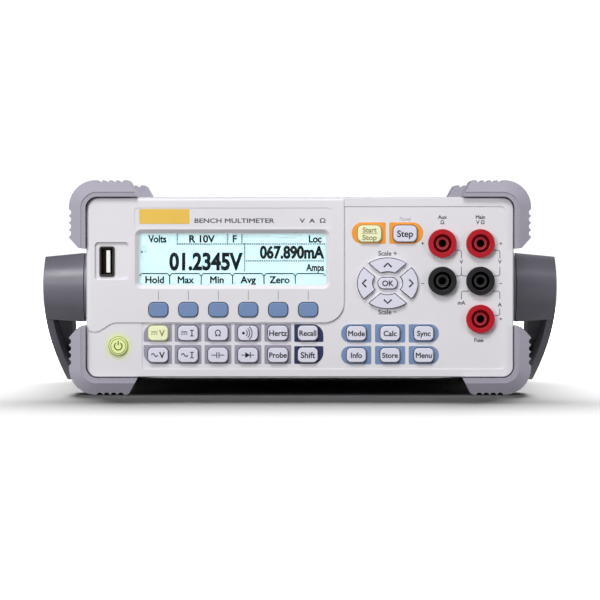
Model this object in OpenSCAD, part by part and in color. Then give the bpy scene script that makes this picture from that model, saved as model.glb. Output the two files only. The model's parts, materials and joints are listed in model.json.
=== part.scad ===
/* [Case] */
// Overall depth, from the front protectors to the back of the folded handle
overall_d = 290.5; // [289:0.5:296]
// Width of the front bezel
bezel_w = 214; // [213.6:0.1:216]
// Height of the front bezel
bezel_h = 90.2; // [90:0.1:92]
// Height of the bezel's lower edge above the table
bezel_z = 8.65; // [8:0.05:9.5]
// Corner radius of the bezel
bezel_r = 5.5; // [4:0.5:7]
// Radius of the rounding along the bezel's outer edge
rim_r = 2; // [1:0.1:2.4]
// Depth at which the bezel's skirt ends
skirt_end = 24; // [20:1:30]
// Wall of the bezel's skirt
skirt_wall = 2.2; // [1.5:0.1:2.6]
// How far the cover stands outside the bezel
cover_step = 0.35; // [0.3:0.05:0.45]
// Sheet thickness of the cover and the chassis
sheet_t = 1.2; // [1:0.1:1.4]
// Depth at which the cover ends
cover_end = 258; // [256:1:260]

/* [Front panel] */
// Depth of the raised display section's face
display_face = 2.5; // [2:0.1:2.8]
// Depth of the frame's face
frame_face = 3.1; // [2.9:0.1:3.3]
// Depth of the key panel's face
panel_face = 3.5; // [3.4:0.1:3.8]
// Depth of the back of the front wall
wall_back = 6; // [5.8:0.1:6.2]

/* [Keys] */
// Depth of the front of the key caps
key_face = 1.6; // [1.2:0.1:2]
// How far a key slides in
key_travel = 1.2; // [0.8:0.1:1.4]
// Gap between a key and its hole
key_gap = 0.4; // [0.3:0.05:0.45]
// Width of the rim that keeps a key behind the panel
key_rim = 0.9; // [0.7:0.1:1]
// Thickness of that rim
rim_t = 1.2; // [1:0.1:1.4]

/* [Sockets] */
// Bore of a socket's metal contact
contact_r = 2; // [1.95:0.05:2.05]
// Outer radius of a socket's ring
socket_r = 7.15; // [6.8:0.05:7.4]
// Distance between neighbouring sockets
socket_pitch = 19.05; // [19:0.05:19.1]

/* [Corner protectors] */
// Thickness of the rubber at the sides of the bezel
rubber_t = 8.7; // [8:0.1:9]
// Outer corner radius of a protector
rubber_r = 13.5; // [12:0.5:15]
// Distance between neighbouring teeth of a protector
tooth_pitch = 3.5; // [3.4:0.1:3.6]
// Width of the sloping outer part of a protector's face
slope_w = 6; // [5:0.1:6]
// How far that part falls back at its outer edge
slope_drop = 2.4; // [1.5:0.1:3]
// Depth of each protector
rubber_d = 40; // [36:1:44]
// Depth at which the rear protectors start
rear_rubber = 222; // [218:1:224]

/* [Handle] */
// Depth of the handle's pivot axis
pivot_d = 115; // [110:1:120]
// Height of the handle's pivot axis
pivot_z = 52.6; // [51:0.1:54]
// Distance from the middle to the hub's outer face
hub_x = 135.6; // [135:0.1:138]
// Radius of the hub at its outer end
hub_r = 15.8; // [15:0.1:17]
// Distance from the middle to the arms' inner face
arm_x = 119.5; // [119:0.1:120.5]
// Distance from the middle to the outer face behind the bend
rear_x = 125.8; // [125:0.1:127]
// Radius of the grip bar
grip_r = 9.25; // [8.5:0.05:10]
// Radius of the pivot pins
pin_r = 7; // [6:0.1:8]

/* [Hidden] */
$fn = 64;
FIT = 0.05;
SEAT = 0.03;
CLEAR = 0.3;
front_y = -overall_d / 2;
bezel_mid = bezel_z + bezel_h / 2;
bezel_x = bezel_w / 2;
cover_x = bezel_x + cover_step;
cover_low = bezel_z - cover_step;
tray_gap = 0.15;
inner_low = cover_low + sheet_t + tray_gap;
board_lift = 8;

key_back = wall_back + CLEAR + rim_t;
key_rest_gap = 0.2;
mat_t = 1.4;
mat_face = key_back + key_travel + key_rest_gap;
board_face = mat_face + mat_t;
board_t = 1.6;

// Boxes on the front, each as left, right, low, high: display opening, label strip, recess round the port
LCD = [-80.75, 13.1, 55, 80.8];
LABEL_STRIP = [-82.9, 15.75, 83.4, 93.6];
PORT_RECESS = [-102.8, -85.8, 57.55, 76.4];
lcd_r = 1.5;
lcd_slope = [2, 1.5];
window_margin = 2.6;
window_face = display_face + 2.1;
module_margin = 4.5;

// Raised display section: right edge, lower edge and the S-shaped step at its left end
display_x = 21.95;
display_z = 36.2;
display_r = 10;
wave_x = -92;
wave_w = 11;
wave_h = 4.7;

// Key panel: the tall part right of the display, and the low part below it
KEY_PANEL = [2, 102.8, 12.75, 94.4];
LOW_PANEL = [-79.15, 42, 12.75, 56];

// Grids of keys: first column, pitch, rows, size, corner radius
SOFT_GRID = [-70.9, 15, [42.6], [9.5, 7.1], 2.5];
FUNCTION_GRID = [-71.1, 15, [30.9, 19.9], [9.9, 7.4], 2.3];
MENU_GRID = [28.2, 16.88, [30.75, 19.8], [9.6, 7.1], 2.2];
RUN_GRID = [34.8, 17.8, [80.7], [11.7, 8.2], 2.6];
function grid_key(name, grid, col, row) =
    [name, [grid[0] + grid[1] * col, grid[2][row]], grid[3], grid[4]];
function grid_row(names, grid, row) =
    [for (i = [0 : len(names) - 1]) grid_key(names[i], grid, i, row)];

auto_at = [43.9, 55.85];
KEYS = concat(
    grid_row([for (i = [1 : 6]) str("softkey_", i)], SOFT_GRID, 0),
    grid_row(["key_dcv", "key_dci", "key_ohm", "key_beep", "key_freq", "key_preset"], FUNCTION_GRID, 0),
    grid_row(["key_acv", "key_aci", "key_cap", "key_diode", "key_sensor", "key_second"], FUNCTION_GRID, 1),
    grid_row(["key_meas", "key_math", "key_trig"], MENU_GRID, 0),
    grid_row(["key_help", "key_save", "key_utility"], MENU_GRID, 1),
    grid_row(["key_run", "key_single"], RUN_GRID, 0),
    [["key_auto", auto_at, [9.5, 5.5], 2.7]]
);
function key_colour(name) =
    name == "key_dcv" || name == "key_run" ? "#f2edad"
    : search("f", name)[0] == 2 ? "#728bb3"
    : "#dcdbe6";
ARROWS = [["key_right", 0], ["key_up", 90], ["key_left", 180], ["key_down", 270]];
ring_out = [15, 12.5];
ring_in = [7.8, 6];
ring_gap = 3.6;
power_at = [-91, 24.35];
power_r = 4.5;

usb_at = [-96.7, 66.75];
usb_size = [7.6, 15.2];
usb_r = 1.3;

// Sockets: three red ones and two black ones
socket_x = 90.35;
socket_z = 75.8;
RED_AT = [
    [socket_x - socket_pitch, socket_z],
    [socket_x, socket_z],
    [socket_x, socket_z - 2 * socket_pitch + 0.25]
];
BLACK_AT = [
    [socket_x - socket_pitch, socket_z - socket_pitch + 0.25],
    [socket_x, socket_z - socket_pitch + 0.25]
];
socket_face = 0.9;
well_r = 4.6;
well_end = 22;
socket_end = 26;
contact_face = 7;
contact_end = 31;
contact_wall = 0.4;
sleeve_face = 3;
sleeve_r = 2.85;

// Lip under the hub: where it starts and ends along the depth, and its drop at the case and at the outside
lip_start = -5.5;
lip_end = 17;
lip_drop = [18.5, 16.8];

// Handle's side outline: outer and inner bend circles that lead down to the level run
run_z0 = 1.5;
run_z1 = 2 * grip_r + run_z0;
bend_out_r = 70;
bend_in_r = 32;
grip_d = overall_d - grip_r;
function leg(hyp, side) = sqrt(hyp * hyp - side * side);
bend_out = [pivot_d + 57.2, run_z0 + bend_out_r];
bend_in = [
    pivot_d + leg(bend_in_r + hub_r, run_z1 + bend_in_r - pivot_z),
    run_z1 + bend_in_r
];
dome_r = 70;
dome_steps = 20;
skin_t = 3.8;
web_t = 2.5;
inner_wall = 1.8;
flange_h = 5;
channel_end = grip_d - 20;
boss_r = 18.5;
boss_taper = 0.6;
boss_x = 113.4;
pin_x = 124;
function dome_x(r) = rear_x + (hub_x - rear_x) * (1 + cos(180 * min(r, dome_r) / dome_r)) / 2;

// Rear panel: depth, and the centres of what is mounted on it
rear_face = 253.5;
rear_t = 1.5;
inlet_at = [-74, 33];
inlet_size = [27.2, 19.8];
PINS = [[-7, -1], [0, 3], [7, -1]];
switch_at = [-74, 68];
switch_size = [13.4, 19.4];
rocker_size = [9.6, 15.6];
rocker_tilt = 7;
rocker_d = rear_face - 3.2;
trunnion_r = 1.2;
trunnion_x = 6.2;
fuse_at = [-44, 33];
fuse_r = 6.3;
lan_at = [-4, 30];
lan_size = [16, 13.6];
SCREWS_REAR = [for (x = [-98, 98]) for (z = [18, 89.5]) [x, z]];
SCREWS_BASE = [for (x = [-95, 95]) for (d = [70, 200]) [x, d]];
screw_r = 1.45;
screw_hole_r = 1.6;
screw_head_r = 2.9;

// Extrudes an outline drawn as seen from the front between two depths.
module front_slab(d0, d1) {
    translate([0, front_y + d1, 0]) rotate([90, 0, 0]) linear_extrude(d1 - d0) children();
}

// Extrudes an outline drawn as depth and height between two places across the width.
module side_slab(x0, x1) {
    translate([x0, front_y, 0]) rotate([90, 0, 90]) linear_extrude(x1 - x0) children();
}

// A round bar along the depth.
module front_rod(at, r, d0, d1) {
    front_slab(d0, d1) translate(at) circle(r);
}

module block(x0, x1, d0, d1, z0, z1) {
    translate([x0, front_y + d0, z0]) cube([x1 - x0, d1 - d0, z1 - z0]);
}

module rounded_2d(size, r) {
    square([size[0] - 2 * r, size[1]], center = true);
    square([size[0], size[1] - 2 * r], center = true);
    for (sx = [-1, 1]) for (sz = [-1, 1])
        translate([sx * (size[0] / 2 - r), sz * (size[1] / 2 - r)]) circle(r);
}

// A rounded box given as left, right, low and high, grown by a margin.
module span_2d(box, r, grow = 0) {
    translate([box[0] + box[1], box[2] + box[3]] / 2)
        rounded_2d([box[1] - box[0] + 2 * grow, box[3] - box[2] + 2 * grow], r);
}

module hole_2d(at, size) {
    translate(at) square(size + [2 * SEAT, 2 * SEAT], center = true);
}

// Sweeps a section, drawn as distance from a corner's centre and depth, round a rounded box of this size.
module sweep_round(size, r) {
    half_x = size[0] / 2 - r;
    half_z = size[1] / 2 - r;
    for (sx = [0, 1]) for (sz = [0, 1]) mirror([sx, 0, 0]) mirror([0, 0, sz]) {
        translate([half_x, 0, half_z]) rotate([90, 0, 0]) mirror([0, 0, 1])
            rotate_extrude(angle = 90) children();
        translate([half_x, 0, -1]) linear_extrude(half_z + 1) children();
        translate([-1, 0, half_z]) rotate([0, -90, 0]) mirror([0, 0, 1])
            linear_extrude(half_x + 1) children();
    }
}

module bezel_2d(grow) {
    translate([0, bezel_mid]) rounded_2d([bezel_w + 2 * grow, bezel_h + 2 * grow], bezel_r + grow);
}

module oval_2d(radii, grow) {
    polygon([for (i = [0 : 71]) [(radii[0] + grow) * cos(5 * i), (radii[1] + grow) * sin(5 * i)]]);
}

// One quarter of the arrow ring, cut from its neighbours along the diagonals.
module arrow_2d(turn, grow) {
    reach = 40;
    diagonal = atan2(ring_out[1], ring_out[0]);
    half = (turn % 180 == 0) ? diagonal : 90 - diagonal;
    inset = (ring_gap / 2 - grow) / sin(half);
    translate(auto_at) intersection() {
        difference() {
            oval_2d(ring_out, grow);
            oval_2d(ring_in, -grow);
        }
        rotate(turn) polygon([
            [inset, 0],
            [inset + reach * cos(half), reach * sin(half)],
            [inset + reach * cos(half), -reach * sin(half)]
        ]);
    }
}

module key_2d(key, grow) {
    translate(key[1]) rounded_2d(key[2] + [2 * grow, 2 * grow], key[3] + grow);
}

module power_2d(grow) {
    translate(power_at) circle(power_r + grow);
}

// Cap in front, and the rim that keeps it behind the panel.
module key(key) {
    color(key_colour(key[0])) {
        front_slab(key_face, key_back) key_2d(key, 0);
        front_slab(key_back - rim_t, key_back) key_2d(key, key_rim);
    }
}

module arrow_key(turn) {
    color("#dcdbe6") {
        front_slab(key_face, key_back) arrow_2d(turn, 0);
        front_slab(key_back - rim_t, key_back) arrow_2d(turn, key_rim - CLEAR);
    }
}

module key_power() {
    color("#d8e0a8") {
        front_slab(key_face, key_back) power_2d(0);
        front_slab(key_back - rim_t, key_back) power_2d(key_rim);
    }
}

function wave_z(x) =
    x > wave_x ? display_z
    : x > wave_x - wave_w ? display_z - wave_h * (1 - cos(180 * (wave_x - x) / wave_w)) / 2
    : display_z - wave_h + (wave_x - wave_w - x) / 4;

module display_section_2d() {
    intersection() {
        bezel_2d(0);
        union() {
            translate([-bezel_x, display_z + display_r]) square([bezel_x + display_x, bezel_h]);
            translate([-bezel_x, display_z]) square([bezel_x + display_x - display_r, bezel_h]);
            translate([display_x - display_r, display_z + display_r]) circle(display_r);
            polygon(concat(
                [[-bezel_x, display_z + 1], [wave_x, display_z + 1]],
                [for (i = [0 : 16]) let(x = wave_x - i * (bezel_x + wave_x) / 16) [x, wave_z(x)]]
            ));
        }
    }
}

module key_panel_2d() {
    difference() {
        union() {
            span_2d(KEY_PANEL, 2.5);
            span_2d(LOW_PANEL, 1.5);
        }
        display_section_2d();
    }
}

// What the rounding takes off the bezel's edge, as distance from a corner's centre and depth.
module rim_section_2d() {
    translate([bezel_r - rim_r, display_face]) difference() {
        translate([0, -1]) square([rim_r + 1, rim_r + 1]);
        translate([0, rim_r]) circle(rim_r);
    }
}

module rim_cut() {
    translate([0, front_y, bezel_mid]) sweep_round([bezel_w, bezel_h], bezel_r) rim_section_2d();
}

// The slope that leads from the display section's face down to the opening.
module lcd_slope_cut() {
    size = [LCD[1] - LCD[0], LCD[3] - LCD[2]];
    middle = [LCD[0] + LCD[1], LCD[2] + LCD[3]] / 2;
    translate([middle[0], front_y + display_face, middle[1]]) sweep_round(size, lcd_r) polygon([
        [0, lcd_slope[1]], [lcd_r, lcd_slope[1]], [lcd_r + lcd_slope[0], 0],
        [lcd_r + lcd_slope[0], -1], [0, -1]
    ]);
}

module front_bezel() {
    strip_d = 0.25;
    recess_d = 1.2;
    color("#d8d7dc") difference() {
        union() {
            front_slab(frame_face, skirt_end) bezel_2d(0);
            front_slab(display_face, frame_face + 1) display_section_2d();
        }
        rim_cut();
        front_slab(frame_face - 1, panel_face) key_panel_2d();
        front_slab(wall_back, skirt_end + 1) bezel_2d(-skirt_wall);
        front_slab(display_face - 1, display_face + strip_d) span_2d(LABEL_STRIP, 1.5);
        lcd_slope_cut();
        front_slab(display_face, wall_back + 1) span_2d(LCD, lcd_r);
        front_slab(window_face, wall_back + 1) span_2d(LCD, 1, window_margin);
        front_slab(display_face - 1, display_face + recess_d) span_2d(PORT_RECESS, 1.8);
        front_slab(display_face, wall_back + 1) usb_2d(SEAT);
        for (at = concat(RED_AT, BLACK_AT)) front_rod(at, socket_r + FIT, frame_face - 1, wall_back + 1);
        front_slab(frame_face - 1, wall_back + 1) {
            for (k = KEYS) key_2d(k, key_gap);
            for (a = ARROWS) arrow_2d(a[1], key_gap);
            power_2d(key_gap);
        }
    }
}

module display_window() {
    color("#dff3f5") front_slab(window_face, wall_back) span_2d(LCD, 1, window_margin - SEAT);
}

// The display's frame, with its glass standing back in the opening.
module lcd_module() {
    module_face = wall_back + 0.2;
    glass_face = wall_back + 0.8;
    module_end = 14;
    color("#9aa39c") difference() {
        front_slab(module_face, module_end) span_2d(LCD, 1, module_margin);
        front_slab(module_face - 1, glass_face) span_2d(LCD, lcd_r);
    }
}

// One sheet under the keys below the display, and one under those to its right.
module keypad_mat() {
    color("#5b5e66") front_slab(mat_face, board_face) {
        span_2d([-97, 74, 13, 48.5], 2);
        span_2d([21, 62, 40, 92], 2);
    }
}

module front_board() {
    color("#1f6a3c") front_slab(board_face, board_face + board_t) difference() {
        span_2d([-92, 62, 12.5, 94], 1);
        span_2d(LCD, 1, module_margin + 0.5);
    }
}

module usb_2d(grow) {
    translate(usb_at) rounded_2d(usb_size + [2 * grow, 2 * grow], usb_r + grow);
}

module usb_shell() {
    wall = 1;
    shell_end = 19;
    color("#3a3434") difference() {
        front_slab(display_face + 0.4, shell_end) usb_2d(0);
        front_slab(display_face, shell_end - 1) usb_2d(-wall);
    }
}

module usb_tongue() {
    tongue = [2, 11.2];
    offset_x = 0.7;
    color("white") front_slab(display_face + 1.4, 18)
        translate(usb_at + [offset_x, 0]) square(tongue, center = true);
}

// A shrouded socket's insulator: ring, well and the sleeve round the contact.
module socket_insulator(at) {
    rim_r = socket_r + 1;
    difference() {
        union() {
            front_rod(at, socket_r, socket_face, socket_end);
            front_rod(at, rim_r, wall_back + SEAT, wall_back + 2);
        }
        front_rod(at, well_r, socket_face - 1, well_end);
        front_rod(at, contact_r + contact_wall + SEAT, well_end - 1, socket_end + 1);
    }
    difference() {
        front_rod(at, sleeve_r, sleeve_face, well_end + 1);
        front_rod(at, contact_r + contact_wall + SEAT, sleeve_face - 1, well_end + 2);
    }
}

module red_jacks() {
    color("#be1428") for (at = RED_AT) socket_insulator(at);
}

module black_jacks() {
    color("#232326") for (at = BLACK_AT) socket_insulator(at);
}

module jack_contacts() {
    color("#c8b070") for (at = concat(RED_AT, BLACK_AT)) difference() {
        front_rod(at, contact_r + contact_wall, contact_face, contact_end);
        front_rod(at, contact_r, contact_face - 1, contact_end - 5);
    }
}

module case_cover() {
    slot_w = 3;
    slot_l = 30;
    side_pitch = 7;
    base_pitch = 9;
    slot_z = pivot_z - 11;
    color("#c9c8ce") difference() {
        front_slab(skirt_end + 0.2, cover_end) difference() {
            bezel_2d(cover_step);
            bezel_2d(cover_step - sheet_t);
        }
        for (i = [0 : 7]) let(d = 160 + side_pitch * i)
            block(-bezel_x - 5, bezel_x + 5, d, d + slot_w, slot_z, slot_z + slot_l);
        for (i = [0 : 9]) let(x = -45 + base_pitch * i)
            block(x, x + slot_w, 150, 150 + slot_l, cover_low - 1, cover_low + sheet_t + 1);
        for (s = SCREWS_BASE) translate([s[0], front_y + s[1], 0]) cylinder(r = screw_hole_r, h = 20);
    }
}

// Outline of the folded tray, which follows the cover's inside.
module tray_2d() {
    inside = cover_step - sheet_t - tray_gap;
    difference() {
        bezel_2d(inside);
        bezel_2d(inside - sheet_t);
    }
}

module below_2d(z) {
    translate([-bezel_x - 5, -5]) square([bezel_w + 10, z + 5]);
}

// Tray with low sides and, at the back, tall cheeks and flanges that hold the rear panel.
module chassis() {
    tab_d = rear_face - rear_t - sheet_t;
    side_z = 30;
    cheek_z = 93;
    flange_x = 92;
    color("#b8bcc2") difference() {
        union() {
            front_slab(27, tab_d + sheet_t) intersection() {
                tray_2d();
                below_2d(side_z);
            }
            front_slab(tab_d - 18, tab_d + sheet_t) intersection() {
                tray_2d();
                below_2d(cheek_z);
            }
            front_slab(tab_d, tab_d + sheet_t) intersection() {
                bezel_2d(cover_step - sheet_t - tray_gap);
                below_2d(cheek_z);
                for (s = [0, 1]) mirror([s, 0]) translate([flange_x, 0]) square([20, cheek_z]);
            }
            for (x = [-88, 0, 88]) for (d = [42, 140])
                translate([x, front_y + d, inner_low + sheet_t]) cylinder(r = 3, h = board_lift - sheet_t);
        }
        for (at = SCREWS_REAR) front_rod(at, screw_hole_r, tab_d - 1, tab_d + sheet_t + 1);
        for (s = SCREWS_BASE) translate([s[0], front_y + s[1], 0]) cylinder(r = screw_hole_r, h = 20);
    }
}

module rear_panel() {
    edge_gap = 0.2;
    vent_pitch = 6;
    vent = [3, 22];
    color("#c4c3ca") front_slab(rear_face - rear_t, rear_face) difference() {
        bezel_2d(cover_step - sheet_t - edge_gap);
        hole_2d(inlet_at, inlet_size);
        hole_2d(switch_at, switch_size);
        hole_2d(lan_at, lan_size);
        translate(fuse_at) circle(fuse_r + SEAT);
        for (at = SCREWS_REAR) translate(at) circle(screw_hole_r);
        for (i = [0 : 9]) for (z = [34, 62])
            span_2d([30 + vent_pitch * i, 30 + vent_pitch * i + vent[0], z, z + vent[1]], 1.2);
    }
}

// Lower left protector's outline: an L round the corner with scalloped outer faces and sloping ends.
module protector_2d() {
    out_x = bezel_x + rubber_t;
    out_z = 0;
    corner = [-out_x + rubber_r, out_z + rubber_r];
    leg_x = -80.7;
    leg_z = 34.6;
    scallop_r = 1.62;
    scallop_out = 0.52;
    first_side = leg_z - 7.9;
    first_low = leg_x - 9.1;
    difference() {
        union() {
            polygon([[leg_x, bezel_z + 1], [leg_x - 4.9, out_z + 0.6], [leg_x - 5.9, out_z],
                [corner[0], out_z], [corner[0], bezel_z + 1]]);
            polygon([[-bezel_x + 1, leg_z], [-bezel_x - 3.9, leg_z - 0.6], [-out_x + 0.5, leg_z - 5.3],
                [-out_x, leg_z - 6], [-out_x, corner[1]], [-bezel_x + 1, corner[1]]]);
            translate(corner) intersection() {
                circle(rubber_r);
                translate([-rubber_r, -rubber_r]) square(rubber_r);
            }
        }
        bezel_2d(cover_step);
        for (i = [0 : 3]) {
            translate([-out_x - scallop_out, first_side - tooth_pitch * i]) circle(scallop_r, $fn = 24);
            translate([first_low - tooth_pitch * i, out_z - scallop_out]) circle(scallop_r, $fn = 24);
        }
    }
}

// What the slope takes off a protector's face, as distance from the corner's centre and depth.
module slope_section_2d() {
    polygon([
        [rubber_r - slope_w, 0], [rubber_r + 1, slope_drop * (slope_w + 1) / slope_w],
        [rubber_r + 1, -1], [rubber_r - slope_w, -1]
    ]);
}

module slope_cut() {
    reach = 30;
    translate([-bezel_x - rubber_t + rubber_r, front_y, rubber_r]) mirror([1, 0, 0]) {
        rotate([-90, 0, 0]) rotate_extrude(angle = 90) slope_section_2d();
        linear_extrude(reach) slope_section_2d();
        mirror([1, 0, 0]) rotate([0, 90, 0]) linear_extrude(reach) slope_section_2d();
    }
}

// Lower left protector: toothed outside, sloping face, and a recessed band round the bezel.
module protector() {
    band = 2.7;
    band_d = 0.4;
    difference() {
        front_slab(0, rubber_d) protector_2d();
        front_slab(-1, band_d) bezel_2d(band);
        slope_cut();
    }
}

module protector_set() {
    color("#9e9aa8") for (sx = [0, 1]) for (sz = [0, 1])
        translate([0, 0, sz * 2 * bezel_mid]) mirror([0, 0, sz]) mirror([sx, 0, 0]) protector();
}

module front_bumpers() {
    protector_set();
}

module rear_bumpers() {
    translate([0, 2 * front_y + rear_rubber + rubber_d, 0]) mirror([0, 1, 0]) protector_set();
}

// The arm's side outline: hub, bend and level run to the grip.
module arm_2d() {
    difference() {
        intersection() {
            polygon([
                [pivot_d, pivot_z], [pivot_d - hub_r, pivot_z], [pivot_d - hub_r, -10], [bend_out[0], -10],
                [bend_out[0], run_z1], [bend_in[0], run_z1], bend_in
            ]);
            translate(bend_out) circle(bend_out_r, $fn = 128);
        }
        translate(bend_in) circle(bend_in_r);
    }
    translate([pivot_d, pivot_z]) circle(hub_r);
    translate([bend_out[0] - 1, run_z0]) square([grip_d - bend_out[0] + 1, run_z1 - run_z0]);
    translate([grip_d, (run_z0 + run_z1) / 2]) circle(grip_r);
}

// The hollow of the arm's channel, open along its front and lower edge; wall is what stays along the bend.
module channel_2d(wall) {
    difference() {
        polygon([
            [pivot_d, pivot_z], [pivot_d - hub_r, pivot_z], [pivot_d - hub_r, -10], [channel_end, -10],
            [channel_end, run_z1 - wall], [bend_in[0], run_z1 - wall], bend_in
        ]);
        translate(bend_in) circle(bend_in_r + wall);
    }
}

// Domed solid about the pivot axis, which shapes the handle's outer face.
module dome(inset) {
    reach = overall_d;
    translate([0, front_y + pivot_d, pivot_z]) rotate([0, 90, 0]) rotate_extrude($fn = 128) polygon(concat(
        [[0, boss_x]],
        [[reach, boss_x], [reach, rear_x - inset]],
        [for (i = [dome_steps : -1 : 0]) let(r = dome_r * i / dome_steps) [r, dome_x(r) - inset]]
    ));
}

// The drum with its lip, one shape that widens towards the case.
module hub_drum(inner_x) {
    slice = 0.01;
    hull() for (end = [[inner_x, boss_r - boss_taper, lip_drop[0]], [hub_x, hub_r, lip_drop[1]]])
        translate([end[0], front_y + pivot_d, pivot_z]) rotate([90, 0, 90]) linear_extrude(slice) {
            circle(end[1]);
            polygon([[lip_start, 0], [lip_start, -end[2]], [lip_end, -end[2]]]);
        }
}

// The arm's side plate, hollowed from below and behind its outer skin.
module arm_plate() {
    difference() {
        side_slab(arm_x, hub_x + 1) arm_2d();
        intersection() {
            side_slab(arm_x + inner_wall, hub_x) channel_2d(web_t);
            dome(skin_t);
        }
        side_slab(arm_x - 1, arm_x + inner_wall + 1) channel_2d(web_t + flange_h);
    }
}

module handle_arm() {
    hub_in = boss_x + CLEAR;
    difference() {
        intersection() {
            union() {
                arm_plate();
                hub_drum(hub_in);
            }
            dome(0);
        }
        translate([hub_in - 1, front_y + pivot_d, pivot_z]) rotate([0, 90, 0])
            cylinder(h = pin_x + CLEAR - hub_in + 1, r = pin_r + FIT);
    }
}

module handle() {
    color("#55545e") {
        handle_arm();
        mirror([1, 0, 0]) handle_arm();
        translate([-arm_x - 1, front_y + grip_d, (run_z0 + run_z1) / 2]) rotate([0, 90, 0])
            cylinder(h = 2 * arm_x + 2, r = grip_r);
    }
}

// A boss on each side of the case, with the pin that the handle turns on.
module handle_pivots() {
    color("#5f5d68") for (s = [0, 1]) mirror([s, 0, 0])
        translate([0, front_y + pivot_d, pivot_z]) rotate([0, 90, 0]) {
            translate([0, 0, cover_x]) cylinder(h = boss_x - cover_x, r1 = boss_r, r2 = boss_r - boss_taper);
            translate([0, 0, cover_x + 1]) cylinder(h = pin_x - cover_x - 1, r = pin_r);
        }
}

// The board fills the tray but for the corner where the transformer stands.
module main_board() {
    board_z = inner_low + board_lift;
    board_x = 98;
    board_end = 236;
    color("#1f6a3c") difference() {
        block(-board_x, board_x, 34, board_end, board_z, board_z + board_t);
        block(-board_x - 1, -20, 150, board_end + 1, board_z - 1, board_z + board_t + 1);
    }
}

// Foot, core and winding, each centred on the same upright axis.
module transformer() {
    base_z = inner_low + sheet_t;
    at = [-51, 189];
    color("#7a6a50") for (b = [[27, 24, 0, 4], [21, 21, 3, 52], [15, 32, 10, 44]])
        block(at[0] - b[0], at[0] + b[0], at[1] - b[1], at[1] + b[1], base_z + b[2], base_z + b[3]);
}

module relays() {
    top_z = inner_low + board_lift + board_t;
    relay = [10, 20, 12];
    pitch = 14;
    color("#e6e6ea") for (i = [0 : 4]) let(x = 20 + pitch * i)
        block(x, x + relay[0], 50, 50 + relay[1], top_z, top_z + relay[2]);
}

module mains_inlet() {
    slot = [2.1, 4.1];
    mouth = [23.6, 16];
    flange = [30.4, 23];
    color("#1c1c1f") difference() {
        union() {
            front_slab(rear_face - 24, rear_face + 1) translate(inlet_at) square(inlet_size, center = true);
            front_slab(rear_face + SEAT, rear_face + 2) translate(inlet_at) rounded_2d(flange, 2);
        }
        front_slab(rear_face - 20, rear_face + 3) translate(inlet_at) rounded_2d(mouth, 3);
        for (p = PINS) front_slab(rear_face - 25, rear_face - 19)
            translate(inlet_at + p) square(slot, center = true);
    }
}

module inlet_pins() {
    pin = [2, 4];
    color("silver") for (p = PINS)
        front_slab(rear_face - 30, rear_face - 5) translate(inlet_at + p) square(pin, center = true);
}

module power_switch() {
    flange = switch_size + [2, 2];
    color("#1c1c1f") difference() {
        union() {
            front_slab(rear_face - 14, rear_face + 1) translate(switch_at) square(switch_size, center = true);
            front_slab(rear_face + SEAT, rear_face + 1.6) translate(switch_at) rounded_2d(flange, 1.2);
        }
        front_slab(rear_face - 12, rear_face + 2)
            translate(switch_at) square(rocker_size + [1, 1], center = true);
        translate([switch_at[0] - trunnion_x - 0.1, front_y + rocker_d, switch_at[1]]) rotate([0, 90, 0])
            cylinder(h = 2 * trunnion_x + 0.2, r = trunnion_r + FIT);
    }
}

// Rocker on two trunnions, tipped towards its lower end at rest.
module power_rocker() {
    radius = 20;
    thick = 8;
    color("#2a2a2e") translate([switch_at[0], front_y + rocker_d, switch_at[1]]) {
        translate([-trunnion_x, 0, 0]) rotate([0, 90, 0]) cylinder(h = 2 * trunnion_x, r = trunnion_r);
        rotate([rocker_tilt, 0, 0]) intersection() {
            translate([-rocker_size[0] / 2, -thick / 2, -rocker_size[1] / 2 + 0.3])
                cube([rocker_size[0], thick, rocker_size[1] - 0.6]);
            translate([-rocker_size[0] / 2, radius - thick / 2 + 1, 0]) rotate([0, 90, 0])
                cylinder(h = rocker_size[0], r = radius);
            difference() {
                translate([-rocker_size[0] / 2, -radius, -radius])
                    cube([rocker_size[0], 2 * radius, 2 * radius]);
                translate([-rocker_size[0], thick / 2 + radius - 1.2, 0]) rotate([0, 90, 0])
                    cylinder(h = 2 * rocker_size[0], r = radius);
            }
        }
    }
}

module fuse_holder() {
    color("#1c1c1f") difference() {
        union() {
            front_rod(fuse_at, fuse_r, rear_face - 30, rear_face + 1);
            front_rod(fuse_at, fuse_r + 1.6, rear_face + SEAT, rear_face + 1.6);
        }
        front_rod(fuse_at, fuse_r - 1.6, rear_face - 28, rear_face + 2);
    }
}

module fuse_cap() {
    color("#26262a") difference() {
        union() {
            front_rod(fuse_at, fuse_r - 1.6 - SEAT, rear_face - 10, rear_face + 2);
            front_rod(fuse_at, fuse_r, rear_face + 1.6 + SEAT, rear_face + 5);
        }
        front_slab(rear_face + 4, rear_face + 6) translate(fuse_at) square([8, 1.4], center = true);
    }
}

module lan_port() {
    mouth = [11.8, 8.4];
    color("silver") difference() {
        front_slab(rear_face - 18, rear_face + 0.8) translate(lan_at) square(lan_size, center = true);
        front_slab(rear_face - 15, rear_face + 2) translate(lan_at + [0, -0.8]) square(mouth, center = true);
        front_slab(rear_face - 15, rear_face + 2) translate(lan_at + [0, 4]) square([5, 2.6], center = true);
    }
}

module screw() {
    cylinder(r = screw_head_r, h = 1.6);
    translate([0, 0, -7]) cylinder(r = screw_r, h = 7.5);
}

module case_screws() {
    color("#a8a8ae") {
        for (at = SCREWS_REAR) translate([at[0], front_y + rear_face, at[1]]) rotate([-90, 0, 0]) screw();
        for (s = SCREWS_BASE) translate([s[0], front_y + s[1], cover_low]) rotate([180, 0, 0]) screw();
    }
}

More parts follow.
